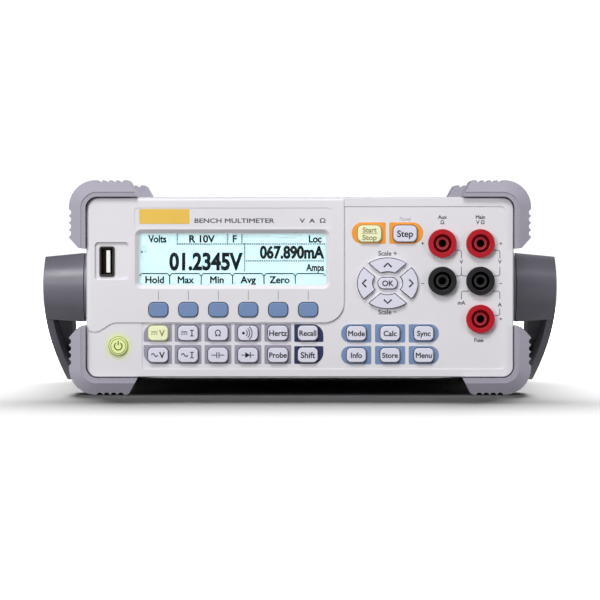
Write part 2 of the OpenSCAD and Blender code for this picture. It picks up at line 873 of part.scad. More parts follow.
front_bezel();
display_window();
lcd_module();
keypad_mat();
front_board();
usb_shell();
usb_tongue();
red_jacks();
black_jacks();
jack_contacts();
case_cover();
chassis();
rear_panel();
front_bumpers();
rear_bumpers();
handle();
handle_pivots();
main_board();
transformer();
relays();
mains_inlet();
inlet_pins();
power_switch();
power_rocker();
fuse_holder();
fuse_cap();
lan_port();
case_screws();
key_power();
for (k = KEYS) key(k);
for (a = ARROWS) arrow_key(a[1]);
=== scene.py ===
"""Looks of the bench multimeter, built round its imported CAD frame.

Lengths are in millimetres until MM scales them, but the stage, lamps and camera are in metres.
Outlines are (x, z) points seen from the front.
"""

import json
import math

import bpy
import bmesh
from mathutils import Matrix, Vector


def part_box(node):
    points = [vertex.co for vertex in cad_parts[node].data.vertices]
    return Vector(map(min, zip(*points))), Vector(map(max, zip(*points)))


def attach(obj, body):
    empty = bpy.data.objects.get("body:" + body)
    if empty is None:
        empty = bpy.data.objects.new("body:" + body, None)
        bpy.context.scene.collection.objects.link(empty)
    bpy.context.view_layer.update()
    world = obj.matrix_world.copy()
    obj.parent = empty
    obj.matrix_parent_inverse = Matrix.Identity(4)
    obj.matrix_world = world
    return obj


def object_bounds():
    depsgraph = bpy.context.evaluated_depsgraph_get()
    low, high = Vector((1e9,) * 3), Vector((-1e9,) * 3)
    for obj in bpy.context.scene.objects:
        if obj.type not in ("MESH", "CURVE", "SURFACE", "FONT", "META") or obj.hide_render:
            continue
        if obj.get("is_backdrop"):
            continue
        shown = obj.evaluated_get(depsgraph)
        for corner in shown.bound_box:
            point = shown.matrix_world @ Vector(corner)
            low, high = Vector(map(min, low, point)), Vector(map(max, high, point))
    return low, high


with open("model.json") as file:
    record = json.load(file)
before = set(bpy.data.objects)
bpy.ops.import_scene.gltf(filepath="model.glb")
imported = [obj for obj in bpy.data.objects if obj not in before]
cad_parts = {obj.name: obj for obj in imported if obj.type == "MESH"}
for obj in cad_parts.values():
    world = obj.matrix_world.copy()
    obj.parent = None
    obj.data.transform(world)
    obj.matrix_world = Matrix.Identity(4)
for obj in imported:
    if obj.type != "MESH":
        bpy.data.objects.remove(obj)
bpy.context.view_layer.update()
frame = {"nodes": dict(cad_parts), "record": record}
NODES = frame["nodes"]
MM = 0.001
ROOT = "instrument"


def box(node):
    """A node's lowest and highest corners, in millimetres."""
    low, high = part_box(node)
    return Vector(low) / MM, Vector(high) / MM


def centre(node):
    low, high = box(node)
    return (low + high) / 2


# ---------------------------------------------------------------- materials

ROUGH_VARY = 0.08


def linear(rgb):
    """An 8-bit sRGB colour as linear RGBA."""
    out = []
    for c in rgb:
        c = c / 255
        out.append(c / 12.92 if c <= 0.04045 else ((c + 0.055) / 1.055) ** 2.4)
    return (*out, 1.0)


def node_of(tree, kind, **values):
    made = tree.nodes.new(kind)
    for name, value in values.items():
        setattr(made, name, value)
    return made


def noise(tree, scale, detail=3.0):
    """Noise in the row's own metres; scale is in features per metre."""
    coords = node_of(tree, "ShaderNodeTexCoord")
    made = node_of(tree, "ShaderNodeTexNoise")
    made.inputs["Scale"].default_value = scale
    made.inputs["Detail"].default_value = detail
    tree.links.new(coords.outputs["Object"], made.inputs["Vector"])
    return made.outputs["Fac"]


def ranged(tree, value, low, high, start=0.35, end=0.65):
    made = node_of(tree, "ShaderNodeMapRange")
    made.inputs["From Min"].default_value = start
    made.inputs["From Max"].default_value = end
    made.inputs["To Min"].default_value = low
    made.inputs["To Max"].default_value = high
    tree.links.new(value, made.inputs["Value"])
    return made.outputs["Result"]


def edge_mask(tree, radius):
    """1 along sharp outer edges within radius, in metres, fading to 0 on flat faces."""
    bevel = node_of(tree, "ShaderNodeBevel", samples=4)
    bevel.inputs["Radius"].default_value = radius
    plain = node_of(tree, "ShaderNodeNewGeometry")
    dot = node_of(tree, "ShaderNodeVectorMath", operation="DOT_PRODUCT")
    tree.links.new(bevel.outputs["Normal"], dot.inputs[0])
    tree.links.new(plain.outputs["Normal"], dot.inputs[1])
    return ranged(tree, dot.outputs["Value"], 1.0, 0.0, 0.8, 0.995)


def surface(
    name, rgb, rough=0.5, grain=0.02, grain_scale=2500.0, vary=0.05, vary_scale=18.0,
    metal=0.0, wear=0.0, wear_rgb=None, wear_radius=0.0006, coat=0.0,
    glow=0.0, specular=0.5, sheen=0.0, brushed=None,
):
    """A solid material: cloudy colour and roughness, fine grain, and edges that wear lighter."""
    made = bpy.data.materials.new(name)
    made.use_nodes = True
    tree = made.node_tree
    shader = tree.nodes["Principled BSDF"]
    base = linear(rgb)
    light = tuple(min(1.0, c * (1 + vary)) for c in base[:3]) + (1.0,)
    dark = tuple(c * (1 - vary) for c in base[:3]) + (1.0,)
    mix = node_of(tree, "ShaderNodeMix", data_type="RGBA")
    mix.inputs["A"].default_value = dark
    mix.inputs["B"].default_value = light
    tree.links.new(ranged(tree, noise(tree, vary_scale), 0.0, 1.0), mix.inputs["Factor"])
    colour = mix.outputs["Result"]
    if wear:
        worn = node_of(tree, "ShaderNodeMix", data_type="RGBA")
        worn.inputs["B"].default_value = linear(wear_rgb or [min(255, c + 30) for c in rgb])
        patchy = node_of(tree, "ShaderNodeMath", operation="MULTIPLY")
        tree.links.new(edge_mask(tree, wear_radius), patchy.inputs[0])
        tree.links.new(ranged(tree, noise(tree, 160.0), 0.0, wear, 0.3, 0.6), patchy.inputs[1])
        tree.links.new(patchy.outputs["Value"], worn.inputs["Factor"])
        tree.links.new(colour, worn.inputs["A"])
        colour = worn.outputs["Result"]
    tree.links.new(colour, shader.inputs["Base Color"])
    rough_noise = ranged(tree, noise(tree, 45.0), rough - ROUGH_VARY / 2, rough + ROUGH_VARY / 2)
    tree.links.new(rough_noise, shader.inputs["Roughness"])
    shader.inputs["Metallic"].default_value = metal
    shader.inputs["Specular IOR Level"].default_value = specular
    shader.inputs["Coat Weight"].default_value = coat
    shader.inputs["Sheen Weight"].default_value = sheen
    if brushed:
        coords = node_of(tree, "ShaderNodeTexCoord")
        stretch = node_of(tree, "ShaderNodeMapping")
        stretch.inputs["Scale"].default_value = brushed
        height = node_of(tree, "ShaderNodeTexNoise")
        height.inputs["Scale"].default_value = 1.0
        tree.links.new(coords.outputs["Object"], stretch.inputs["Vector"])
        tree.links.new(stretch.outputs["Vector"], height.inputs["Vector"])
        height = height.outputs["Fac"]
    else:
        height = noise(tree, grain_scale, 2.0)
    bump = node_of(tree, "ShaderNodeBump")
    bump.inputs["Strength"].default_value = 1.0
    bump.inputs["Distance"].default_value = grain * MM
    tree.links.new(height, bump.inputs["Height"])
    tree.links.new(bump.outputs["Normal"], shader.inputs["Normal"])
    if glow:
        shader.inputs["Emission Color"].default_value = base
        shader.inputs["Emission Strength"].default_value = glow
    return made


def clear_plastic(name):
    """The display window: clear, faintly cool, with fine hairlines."""
    made = bpy.data.materials.new(name)
    made.use_nodes = True
    tree = made.node_tree
    shader = tree.nodes["Principled BSDF"]
    shader.inputs["Base Color"].default_value = linear((236, 250, 252))
    shader.inputs["Transmission Weight"].default_value = 1.0
    shader.inputs["IOR"].default_value = 1.3
    tree.links.new(ranged(tree, noise(tree, 60.0), 0.02, 0.07), shader.inputs["Roughness"])
    bump = node_of(tree, "ShaderNodeBump")
    bump.inputs["Distance"].default_value = 0.002 * MM
    tree.links.new(noise(tree, 300.0), bump.inputs["Height"])
    tree.links.new(bump.outputs["Normal"], shader.inputs["Normal"])
    return made


BEZEL_RGB = (224, 222, 227)
PAINT = {
    "bezel": surface("bezel", BEZEL_RGB, 0.46, 0.012, 3000, 0.02, wear=0.25,
                     wear_rgb=(240, 239, 243)),
    "cover": surface("cover", (213, 211, 218), 0.5, 0.03, 1800, 0.03, wear=0.3,
                     wear_rgb=(232, 231, 235)),
    "window": clear_plastic("window"),
    "display": surface("display", (60, 66, 66), 0.4, 0.01, 1500),
    "glass": surface("glass", (236, 250, 252), 0.3, 0.002, 900, 0.015, glow=0.55),
    "segment": surface("segment", (14, 18, 22), 0.4, 0.002, 900, 0.05),
    "mat": surface("mat", (70, 72, 80), 0.7, 0.02, 1200),
    "board": surface("board", (30, 96, 58), 0.42, 0.02, 900, 0.12, vary_scale=120),
    "steel": surface("steel", (196, 196, 200), 0.3, 0.004, metal=1.0,
                     brushed=(300, 9000, 300)),
    # The USB shell's nickel is painted dark, as painted shade inside the port.
    "shaded_nickel": surface("shaded_nickel", (92, 82, 80), 0.32, 0.004, vary=0.12, metal=1.0,
                           brushed=(300, 9000, 300)),
    "white": surface("white", (240, 240, 238), 0.45, 0.01),
    # The red plastic's faint glow is painted light, standing in for light scattered through the plastic
    # into the shaded socket wells.
    "red": surface("red", (172, 8, 28), 0.34, 0.008, 1500, 0.06, coat=0.2, wear=0.35,
                   wear_rgb=(204, 40, 62), glow=0.1),
    # A slightly darker red for the faces inside the red sockets, with a faint glow of painted light
    # standing in for light scattered through the plastic.
    "deep_red": surface("deep_red", (150, 10, 26), 0.45, 0.008, 1500, 0.06, glow=0.12),
    # A lighter copy of the socket red: a painted highlight on the rim at the end of each red socket's tube.
    "pink_highlight": surface("pink_highlight", (196, 78, 92), 0.4, 0.008, 1500, 0.06),
    "black": surface("black", (27, 26, 30), 0.38, 0.01, 1500, 0.12, wear=0.4,
                     wear_rgb=(64, 64, 68)),
    # A lighter copy of the socket black: a painted highlight on the rim at the end of each black socket's
    # tube.
    "black_highlight": surface("black_highlight", (78, 78, 82), 0.45, 0.01, 1500, 0.1),
    # The contacts' brass is painted far darker than brass, as painted shade deep in the socket bores.
    "shaded_brass": surface("shaded_brass", (64, 52, 38), 0.4, 0.004, metal=1.0, brushed=(4000, 200, 4000)),
    "chassis": surface("chassis", (180, 184, 190), 0.35, 0.006, metal=1.0, brushed=(60, 4000, 60)),
    "rubber": surface("rubber", (158, 154, 168), 0.62, 0.035, 1600, 0.045, 22, wear=0.35,
                      wear_rgb=(186, 183, 194), wear_radius=0.0009, sheen=0.1),
    "handle": surface("handle", (101, 99, 110), 0.38, 0.02, 2200, 0.05, 20, wear=0.4,
                      wear_rgb=(140, 138, 148), specular=0.7),
    "core": surface("core", (84, 74, 62), 0.55, 0.05, 700, 0.15, vary_scale=200),
    "relay": surface("relay", (228, 228, 230), 0.5, 0.01),
    "screw": surface("screw", (170, 170, 176), 0.3, 0.01, metal=1.0, wear=0.3,
                     wear_rgb=(220, 220, 224)),
    "light_key": surface("light_key", (220, 219, 234), 0.5, 0.014, 2600, 0.02, wear=0.2,
                         wear_rgb=(236, 236, 246)),
    "blue_key": surface("blue_key", (112, 138, 180), 0.5, 0.014, 2600, 0.03, wear=0.3,
                        wear_rgb=(150, 172, 206)),
    "lit_key": surface("lit_key", (226, 229, 186), 0.45, 0.012, 2600, 0.02, glow=0.16),
    "power_key": surface("power_key", (214, 226, 150), 0.45, 0.012, 2600, 0.03, glow=0.2),
    "grey_pad": surface("grey_pad", (152, 149, 166), 0.5, 0.01, 2600, 0.03),
    "navy_pad": surface("navy_pad", (36, 46, 88), 0.45, 0.01, 2600, 0.05),
    "blue_pad": surface("blue_pad", (116, 140, 178), 0.5, 0.01, 2600, 0.03),
    "orange_pad": surface("orange_pad", (238, 154, 52), 0.5, 0.01, 2600, 0.03),
    "badge": surface("badge", (232, 192, 84), 0.4, 0.01, 2600, 0.05),
    "ink": surface("ink", (72, 70, 82), 0.55, 0.006, 2600, 0.04),
    "faint_ink": surface("faint_ink", (186, 184, 194), 0.55, 0.006, 2600, 0.04),
    "dark_ink": surface("dark_ink", (24, 22, 30), 0.55, 0.006, 2600, 0.04),
    "olive_ink": surface("olive_ink", (150, 146, 100), 0.55, 0.006, 2600, 0.04),
}


def paint(obj, name):
    obj.data.materials.clear()
    obj.data.materials.append(PAINT[name])


# ---------------------------------------------------------------- mesh tools

INK_T = 0.06
CAP_SHARE = 0.7  # a capital's height as a share of Blender's font size
RING_STEPS = 71
SHARP_ANGLE = 32
BEVEL_SEGMENTS = 3


def link(name, mesh):
    obj = bpy.data.objects.new(name, mesh)
    bpy.context.scene.collection.objects.link(obj)
    return obj


def baked_mesh(obj):
    """The evaluated mesh of a temporary object, which is then removed."""
    bpy.context.view_layer.update()
    graph = bpy.context.evaluated_depsgraph_get()
    mesh = bpy.data.meshes.new_from_object(obj.evaluated_get(graph))
    data = obj.data
    bpy.data.objects.remove(obj)
    bpy.data.curves.remove(data)
    return mesh


def facing_front(mesh, depth):
    """Stands a flat mesh drawn in X and Y up in X and Z, facing -Y, at a depth; millimetres to metres."""
    turn = Matrix.Translation((0, depth * MM, 0)) @ Matrix.Rotation(math.pi / 2, 4, "X")
    mesh.transform(turn @ Matrix.Scale(MM, 4))
    return mesh


def flat_plate(outlines, depth, thick, round_edge=0.0):
    """A plate filled between closed outlines of (x, z) points, its face at depth and its body behind it."""
    curve = bpy.data.curves.new("plate", "CURVE")
    curve.dimensions = "2D"
    curve.fill_mode = "BOTH"
    curve.extrude = max(0.0, thick / 2 - round_edge)
    curve.bevel_depth = round_edge
    curve.bevel_resolution = 3
    curve.offset = -round_edge
    for points in outlines:
        spline = curve.splines.new("POLY")
        spline.points.add(len(points) - 1)
        for point, (x, z) in zip(spline.points, points):
            point.co = (x, z, 0, 1)
        spline.use_cyclic_u = True
    mesh = baked_mesh(link("plate", curve))
    return facing_front(mesh, depth + thick / 2)


def inked(outlines, depth, thick=INK_T):
    """Raised print that fills closed outlines, on the surface at depth."""
    return flat_plate(outlines, depth - thick, thick)


def lettering(text, size, x, z, depth, width=None, bold=0.06):
    """Raised print of a text, its middle at (x, z). Size is a capital's height; width squeezes the line."""
    curve = bpy.data.curves.new("text", "FONT")
    curve.body = text
    curve.size = size / CAP_SHARE
    curve.align_x = "CENTER"
    curve.bevel_depth = bold
    curve.bevel_resolution = 0
    mesh = baked_mesh(link("text", curve))
    mesh.transform(Matrix.Scale(INK_T / (2 * bold), 4, (0, 0, 1)))
    if width:
        across = [v.co.x for v in mesh.vertices]
        mesh.transform(Matrix.Scale(width / (max(across) - min(across)), 4, (1, 0, 0)))
    mesh.transform(Matrix.Translation((x, z - size / 2, 0)))
    return facing_front(mesh, depth - INK_T / 2)


def ring(x, z, outer, inner, steps=RING_STEPS):
    """The two outlines of a flat ring."""
    last = 360 - 360 / (steps + 1)
    return [arc(x, z, outer, 0, last, steps), arc(x, z, inner, 0, last, steps)[::-1]]


def spot(x, z, half, r, steps):
    """The outline of a small square dot."""
    return rounded(x - half, x + half, z - half, z + half, r, steps)


def arc(cx, cz, r, start, end, steps=10):
    """Points on an arc; angles in degrees."""
    return [
        (cx + r * math.cos(math.radians(start + (end - start) * i / steps)),
         cz + r * math.sin(math.radians(start + (end - start) * i / steps)))
        for i in range(steps + 1)
    ]


def rounded(x0, x1, z0, z1, radii, steps=10):
    """Rounded rectangle; radii are for the upper right, upper left, lower left and lower right corners."""
    if not hasattr(radii, "__len__"):
        radii = [radii] * 4
    ur, ul, ll, lr = radii
    return (
        arc(x1 - ur, z1 - ur, ur, 0, 90, steps) + arc(x0 + ul, z1 - ul, ul, 90, 180, steps)
        + arc(x0 + ll, z0 + ll, ll, 180, 270, steps) + arc(x1 - lr, z0 + lr, lr, 270, 360, steps)
    )


def ribbon(points, width, depth, thick=INK_T):
    """A printed line of even width along open (x, z) points."""
    left, right = [], []
    for i, (x, z) in enumerate(points):
        before = Vector(points[max(i - 1, 0)])
        after = Vector(points[min(i + 1, len(points) - 1)])
        along = (after - before).normalized()
        side = Vector((-along.y, along.x)) * width / 2
        left.append((x + side.x, z + side.y))
        right.append((x - side.x, z - side.y))
    return inked([left + right[::-1]], depth, thick)


def joined(name, meshes, colour, body, slot):
    """One object from several meshes, painted and riding on a body."""
    bm = bmesh.new()
    for mesh in meshes:
        bm.from_mesh(mesh)
        bpy.data.meshes.remove(mesh)
    bmesh.ops.remove_doubles(bm, verts=bm.verts, dist=0.001 * MM)
    bmesh.ops.recalc_face_normals(bm, faces=bm.faces)
    mesh = bpy.data.meshes.new(name)
    bm.to_mesh(mesh)
    bm.free()
    obj = link(name, mesh)
    paint(obj, colour)
    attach(obj, body)


def soften(node, width):
    """Welds a CAD node's mesh and rounds its sharp edges."""
    obj = NODES[node]
    weld = obj.modifiers.new("weld", "WELD")
    weld.merge_threshold = 0.002 * MM
    flat = obj.modifiers.new("flat", "DECIMATE")
    flat.decimate_type = "DISSOLVE"
    flat.angle_limit = math.radians(0.5)
    bevel = obj.modifiers.new("bevel", "BEVEL")
    bevel.width = width * MM
    bevel.segments = BEVEL_SEGMENTS
    bevel.limit_method = "ANGLE"
    bevel.angle_limit = math.radians(SHARP_ANGLE)
    bevel.use_clamp_overlap = True
    shade = obj.modifiers.new("shade", "WEIGHTED_NORMAL")
    shade.weight = 100
    for polygon in obj.data.polygons:
        polygon.use_smooth = True


# ---------------------------------------------------------------- CAD nodes

FINISH = {
    "front_bezel": ("bezel", 0.25), "display_window": ("window", 0), "lcd_module": ("display", 0.2),
    "keypad_mat": ("mat", 0.2), "front_board": ("board", 0.1), "usb_shell": ("shaded_nickel", 0.3),
    "usb_tongue": ("white", 0.15), "red_jacks": ("red", 0.35), "black_jacks": ("black", 0.35),
    "jack_contacts": ("shaded_brass", 0.1), "case_cover": ("cover", 0.3), "chassis": ("chassis", 0.2),
    "rear_panel": ("cover", 0.2), "front_bumpers": ("rubber", 0.5), "rear_bumpers": ("rubber", 0.5),
    "handle": ("handle", 0.6), "handle_pivots": ("handle", 0.4), "main_board": ("board", 0.1),
    "transformer": ("core", 0.5), "relays": ("relay", 0.4), "mains_inlet": ("black", 0.4),
    "inlet_pins": ("steel", 0.2), "power_switch": ("black", 0.3), "power_rocker": ("black", 0.4),
    "fuse_holder": ("black", 0.3), "fuse_cap": ("black", 0.4), "lan_port": ("steel", 0.2),
    "case_screws": ("screw", 0.4), "key_power": ("power_key", 0.7),
}
for name in NODES:
    if name not in FINISH:
        colour = "blue_key" if name.startswith("softkey") else "light_key"
        if name in ("key_dcv", "key_run"):
            colour = "lit_key"
        FINISH[name] = (colour, 0.7)
for name, (colour, edge) in FINISH.items():
    paint(NODES[name], colour)
    if edge:
        soften(name, edge)

# ---------------------------------------------------------------- display

window_low, window_high = box("display_window")
WINDOW_MARGIN = 2.57
GLASS_T = 0.3
DOT_STEP = 0.9
DOT_HALF = 0.3
TAB_LINE = 0.55
glass_x = window_low.x + WINDOW_MARGIN
glass_z = window_low.z + WINDOW_MARGIN
glass_w = window_high.x - window_low.x - 2 * WINDOW_MARGIN
glass_h = window_high.z - window_low.z - 2 * WINDOW_MARGIN
glass_y = window_high.y + GLASS_T / 2
joined("display_glass", [flat_plate(
    [rounded(glass_x, glass_x + glass_w, glass_z, glass_z + glass_h, 0.4)], glass_y, GLASS_T)],
    "glass", ROOT, "display")


def build_display():
    """The picture on the display: two readings, a status row and a row of menu tabs."""
    marks = []
    face = glass_y - 0.01
    top = glass_z + glass_h

    def at(across, down):
        """A place on the glass, in millimetres from its upper left corner."""
        return glass_x + across, top - down

    def word(text, size, across, down, **more):
        x, z = at(across, down)
        marks.append(lettering(text, size, x, z, face, **more))

    def line(points):
        marks.append(ribbon([at(*p) for p in points], TAB_LINE, face))

    def dots(start, end):
        length = math.dist(start, end)
        for i in range(int(length / DOT_STEP) + 1):
            t = i * DOT_STEP / length
            x, z = at(start[0] + (end[0] - start[0]) * t, start[1] + (end[1] - start[1]) * t)
            marks.append(inked([spot(x, z, DOT_HALF, 0.05, 1)], face))

    small, bold = 3.5, 0.18
    word("Volts", small, 9.3, 2.7, width=9.2, bold=bold)
    word("R 10V", small, 31.4, 2.7, width=13.0, bold=bold)
    word("F", small, 47.9, 2.7, width=2.0, bold=bold)
    word("Loc", small, 88.3, 2.7, width=6.4, bold=bold)
    for across in (19.2, 44.4, 51.6):
        dots((across, 0.5), (across, 5.0))
    dots((19.2, 5.3), (93.2, 5.3))
    dots((53.0, 5.3), (53.0, 19.6))
    dots((53.9, 13.8), (93.4, 13.8))
    word("01.2345V", 8.2, 33.4, 14.0, width=36.9, bold=0.46)
    word("067.890mA", 5.9, 76.6, 9.4, width=32.4, bold=0.36)
    word("Amps", small, 88.4, 17.0, width=9.0, bold=bold)
    for i in range(9):
        turn = math.radians(40 * i)
        half = 0.42 if i == 6 else 0.2
        x, z = at(2.3 + 1.6 * math.cos(turn), 7.9 - 1.6 * math.sin(turn))
        marks.append(inked([spot(x, z, half, 0.1, 2)], face))
    edges = [0.3, 15.4, 31.2, 46.9, 62.7, 78.4, 93.5]
    for left, right in zip(edges, edges[1:]):
        line([(left, 21.4), (left + 1.1, 20.15), (right - 1.1, 20.15), (right, 21.4)])
    for edge in edges[1:-1]:
        line([(edge, 21.3), (edge, 25.4)])
    for left, right, label in zip(edges, edges[1:], ("Hold", "Max", "Min", "Avg", "Zero")):
        word(label, 3.4, (left + right) / 2, 23.2, bold=0.16)
    joined("display_marks", marks, "segment", ROOT, "display")


build_display()

# ---------------------------------------------------------------- panel print

PANEL_RECESS = 3.5
PANEL_Y = box("front_bumpers")[0].y + PANEL_RECESS
FRAME_Y = PANEL_Y - 0.4
DISPLAY_Y = PANEL_Y - 1.0
STRIP_Y = DISPLAY_Y + 0.25
KEY_FACE = box("key_dcv")[0].y
KEY_RIM = 0.9
KEY_GAP = 0.4
PAD_T = 0.1
PAD_END_R = 5.6
PAD_R = 0.6
SOCKET_RIM = 8.15
SLEEVE_DEPTH = 1.9
HALO_R = 8.2
BADGE = (-80.5, -55.4, 85.6, 93.0)
HEADING_Z = 87.2
BRACKET_LINE = 0.32


def cap_box(node):
    """A key's cap seen from the front: left, right, low and high, without its hidden rim."""
    low, high = box(node)
    return low.x + KEY_RIM, high.x - KEY_RIM, low.z + KEY_RIM, high.z - KEY_RIM


def key_hole(node, r):
    """The outline of the hole that a pad leaves round a key."""
    x0, x1, z0, z1 = cap_box(node)
    g = KEY_GAP
    return rounded(x0 - g, x1 + g, z0 - g, z1 + g, r + g, 8)[::-1]


def pad(node, size, radii, shift=(0, 0), r=2.3):
    """A printed pad round a key, with the key's hole through it."""
    c = centre(node)
    x, z = c.x + shift[0], c.z + shift[1]
    outline = rounded(x - size[0] / 2, x + size[0] / 2, z - size[1] / 2, z + size[1] / 2, radii)
    return flat_plate([outline, key_hole(node, r)], PANEL_Y - PAD_T, PAD_T + 0.05)


def build_pads():
    """Coloured pads behind the keys, joined by colour."""
    top_row = ["key_dcv", "key_dci", "key_ohm", "key_beep", "key_freq", "key_preset"]
    low_row = ["key_acv", "key_aci", "key_cap", "key_diode", "key_sensor", "key_second"]
    grey, navy = [], []
    for i in range(5):
        width, shift = (14.2, -0.15) if i == 0 else (13.4, 0)
        end = PAD_END_R if i == 0 else PAD_R
        grey.append(pad(top_row[i], (width, 8.9), (PAD_R, end, PAD_R, PAD_R), (shift, 0.15)))
        grey.append(pad(low_row[i], (width, 9.5), (PAD_R, PAD_R, end, PAD_R), (shift, 0.25)))
    navy.append(pad(top_row[5], (14.6, 8.9), (PAD_END_R, PAD_R, PAD_R, PAD_R), (0.5, 0)))
    navy.append(pad(low_row[5], (14.6, 8.9), (PAD_R, PAD_R, PAD_R, PAD_END_R), (0.5, 0)))
    joined("grey_pads", grey, "grey_pad", ROOT, "bezel_plastic")
    joined("navy_pads", navy, "navy_pad", ROOT, "bezel_plastic")
    blue = []
    for row in (("key_meas", "key_math", "key_trig"), ("key_help", "key_save", "key_utility")):
        for i, node in enumerate(row):
            radii = ((0.8, 4.4, 4.4, 0.8), (0.8,) * 4, (4.4, 0.8, 0.8, 4.4))[i]
            blue.append(pad(node, (15.1, 9.15), radii, ((-0.05, 0.05, 0.05)[i], 0), 2.2))
    joined("blue_pads", blue, "blue_pad", ROOT, "bezel_plastic")
    orange = [
        pad("key_run", (17.0, 10.7), (0.8, 5.3, 5.3, 0.8), (-0.4, 0.3), 2.6),
        pad("key_single", (17.0, 10.7), (5.3, 0.8, 0.8, 5.3), (0.6, 0.3), 2.6),
    ]
    joined("orange_pads", orange, "orange_pad", ROOT, "bezel_plastic")


build_pads()

# ---------------------------------------------------------------- key legends


def frame_slot(node):
    """The record's material slot of a node."""
    return next(s["material_slot"] for s in frame["record"]["subparts"] if s["node"] == node)


def legend(node, meshes, colour="dark_ink"):
    joined(f"{node}_legend", meshes, colour, node, frame_slot(node))


def stroke(node, points, width):
    """A line on a key's face, from points measured from the key's middle."""
    c = centre(node)
    return ribbon([(c.x + x, c.z + z) for x, z in points], width, KEY_FACE)


def word_on(node, text, size, x=0.0, z=0.0, bold=0.09, width=None):
    c = centre(node)
    return lettering(text, size, c.x + x, c.z + z, KEY_FACE, width=width, bold=bold)


def unit_marks(node):
    """Direct or alternating current, and the V or I that it measures."""
    if node[-1] == "v":
        marks = [word_on(node, "V", 3.0, 2.0, bold=0.12)]
    else:
        marks = [stroke(node, [(2.0, -1.5), (2.0, 1.5)], 0.5)]
        marks += [stroke(node, [(1.1, z), (2.9, z)], 0.42) for z in (-1.4, 1.4)]
    if node[4] == "d":
        marks.append(stroke(node, [(-3.4, 0.6), (-0.3, 0.6)], 0.5))
        for x in (-3.4, -2.2, -1.0):
            marks.append(stroke(node, [(x, -0.5), (x + 0.72, -0.5)], 0.5))
    else:
        wave = [(-3.3 + 0.2 * i, 0.75 * math.sin(math.radians(22.5 * i))) for i in range(17)]
        marks.append(stroke(node, wave, 0.5))
    return marks


def chevron(turn):
    """An arrow on the key at this turn round the centre key."""
    reach = 11.7 if turn % 180 == 0 else 9.1
    a = math.radians(turn)
    points = [
        ((reach + p) * math.cos(a) - q * math.sin(a), (reach + p) * math.sin(a) + q * math.cos(a))
        for p, q in ((-0.95, -1.9), (0.95, 0.0), (-0.95, 1.9))
    ]
    return stroke("key_auto", points, 0.8)


def build_legends():
    """A word or a standard symbol on each key."""
    words = {
        "key_freq": ("Hertz", 2.7), "key_preset": ("Recall", 2.6), "key_sensor": ("Probe", 2.6),
        "key_second": ("Shift", 2.9), "key_meas": ("Mode", 2.6), "key_math": ("Calc", 2.6),
        "key_trig": ("Sync", 2.6), "key_help": ("Info", 2.6), "key_save": ("Store", 2.5),
        "key_utility": ("Menu", 2.6), "key_single": ("Step", 3.2), "key_auto": ("OK", 2.7),
    }
    for node, (text, size) in words.items():
        legend(node, [word_on(node, text, size)])
    draw = {"key_run": [
        word_on("key_run", "Start", 2.5, z=1.85, width=7.0),
        stroke("key_run", [(-4.0, 0.0), (4.0, 0.0)], 0.25),
        word_on("key_run", "Stop", 2.5, z=-1.9, width=7.2),
    ]}
    for node in ("key_dcv", "key_dci", "key_acv", "key_aci"):
        draw[node] = unit_marks(node)
    draw["key_ohm"] = [word_on("key_ohm", "Ω", 3.0, bold=0.06)]
    c = centre("key_beep")
    draw["key_beep"] = [inked([arc(c.x - 2.2, c.z, 0.7, 0, 342, 19)], KEY_FACE)] + [
        stroke("key_beep", arc(-2.2, 0, r, -48, 48, 12), 0.42) for r in (1.9, 3.1, 4.3)
    ]
    draw["key_cap"] = [stroke("key_cap", [(x, -1.5), (x, 1.5)], 0.42) for x in (-0.55, 0.55)]
    draw["key_cap"] += [stroke("key_cap", [(s * 0.6, 0), (s * 3.2, 0)], 0.4) for s in (-1, 1)]
    c = centre("key_diode")
    draw["key_diode"] = [
        stroke("key_diode", [(-3.2, 0), (3.2, 0)], 0.4),
        inked([[(c.x - 1.3, c.z + 1.5), (c.x - 1.3, c.z - 1.5), (c.x + 1.0, c.z)]], KEY_FACE),
        stroke("key_diode", [(1.2, -1.5), (1.2, 1.5)], 0.42),
    ]
    for node, turn in {"key_right": 0, "key_up": 90, "key_left": 180, "key_down": 270}.items():
        draw[node] = [chevron(turn)]
    for node, marks in draw.items():
        legend(node, marks, "olive_ink" if node in ("key_run", "key_dcv") else "dark_ink")
    c = centre("key_power")
    legend("key_power", [
        stroke("key_power", arc(0, 0, 1.9, 125, 415, 24), 0.5),
        stroke("key_power", [(0, 0.5), (0, 2.6)], 0.5),
        flat_plate(ring(c.x, c.z, 3.85, 3.6), KEY_FACE - 0.05, 0.06),
    ])


build_legends()


